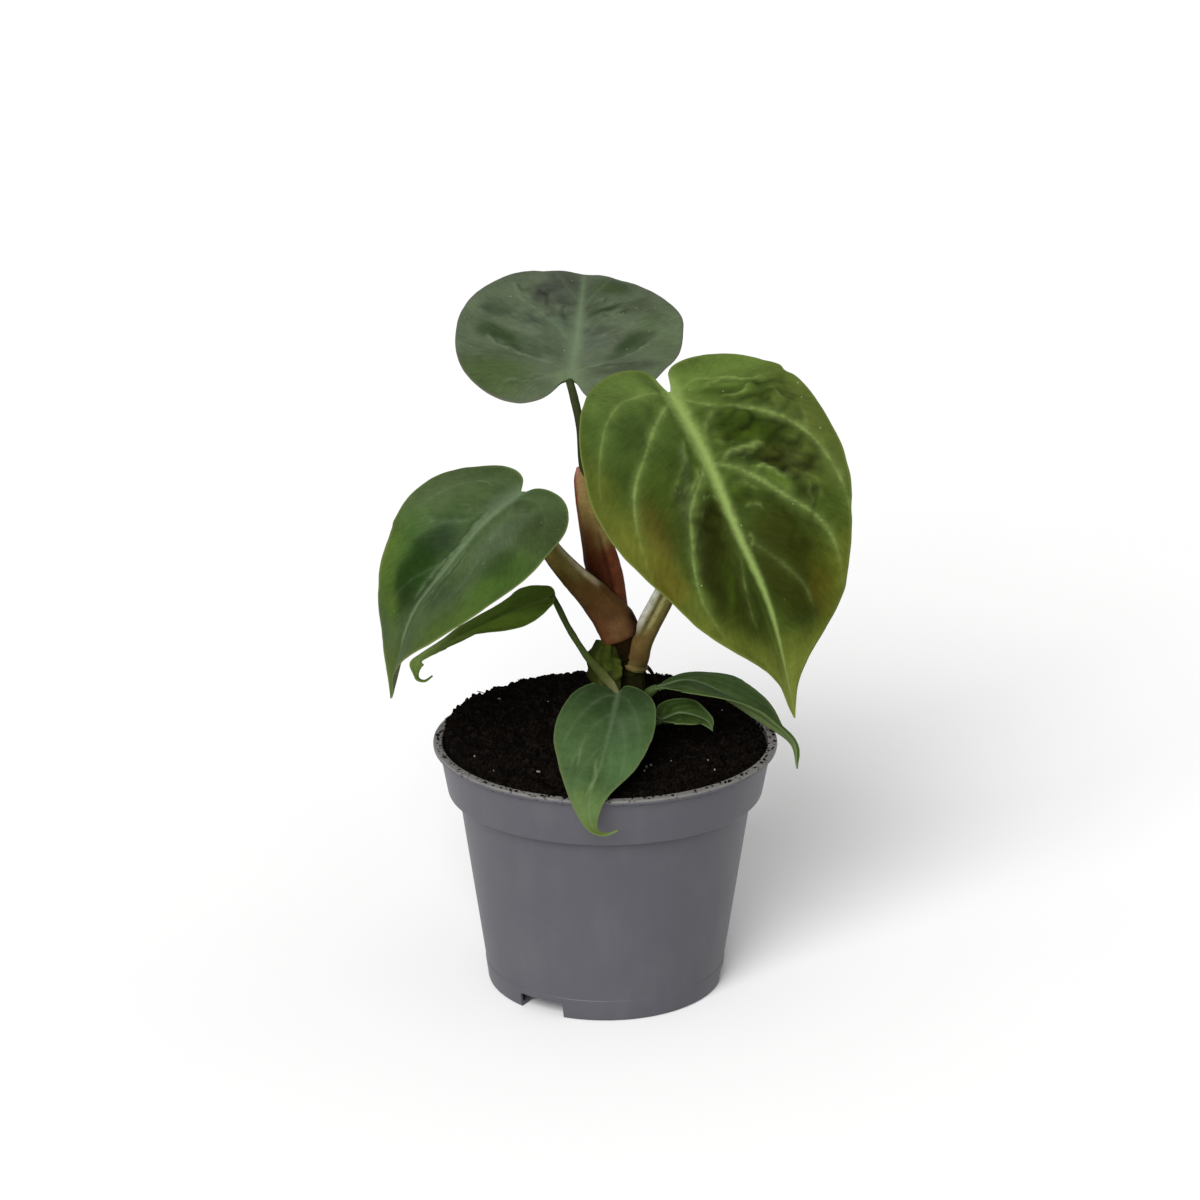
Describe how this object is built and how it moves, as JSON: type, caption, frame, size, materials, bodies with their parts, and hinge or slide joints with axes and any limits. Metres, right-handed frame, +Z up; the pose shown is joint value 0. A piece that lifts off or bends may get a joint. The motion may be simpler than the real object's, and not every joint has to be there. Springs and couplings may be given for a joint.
{
  "type": "potted philodendron",
  "caption": "Young velvet-leaved philodendron with heart-shaped leaves on a short stem, growing in soil in a grey tapered nursery pot.",
  "frame": {"origin": "centre of the flat disc under the pot that it stands on, on the pot's axis", "axes": "+Z up along the pot's axis, -Y the front from which the plant is seen, +X to the right of that view"},
  "size_m": [0.1597, 0.1822, 0.2355],
  "materials": {
    "pot": "satin grey moulded polypropylene, faintly dusty",
    "soil": "near-black brown crumbly peat potting mix, moist and matt",
    "stem": "dark green-black living stem with olive ring scars",
    "root": "near-black thin aerial root, matt",
    "red_petiole": "olive-yellow leaf stalk that turns red-brown at its clasping base, satin",
    "red_sheath": "red-brown leaf sheath with a dark red mouth, satin",
    "pale_petiole": "pale yellow-olive finely speckled leaf stalk, satin",
    "green_petiole": "mid-green leaf stalk, satin",
    "dark_leaf": "velvety dull dark green with a paler grey-green midrib",
    "bright_leaf": "velvety yellow-olive green with pale yellow-green veins and a light margin",
    "young_leaf": "velvety mid-green with a paler midrib"
  },
  "bodies": {
    "root": {"pot": "pot", "soil": "soil", "stem": "stem", "aerial_root": "root", "left_petiole": "red_petiole", "top_sheath": "red_sheath", "right_petiole": "pale_petiole", "top_petiole": "green_petiole", "front_petiole": "green_petiole", "lower_left_petiole": "green_petiole", "lower_right_petiole": "green_petiole", "small_petiole": "green_petiole", "top_leaf": "dark_leaf", "left_leaf": "dark_leaf", "right_leaf": "bright_leaf", "front_leaf": "young_leaf", "lower_right_leaf": "young_leaf", "lower_left_leaf": "young_leaf", "small_leaf": "young_leaf"}
  },
  "joints": []
}
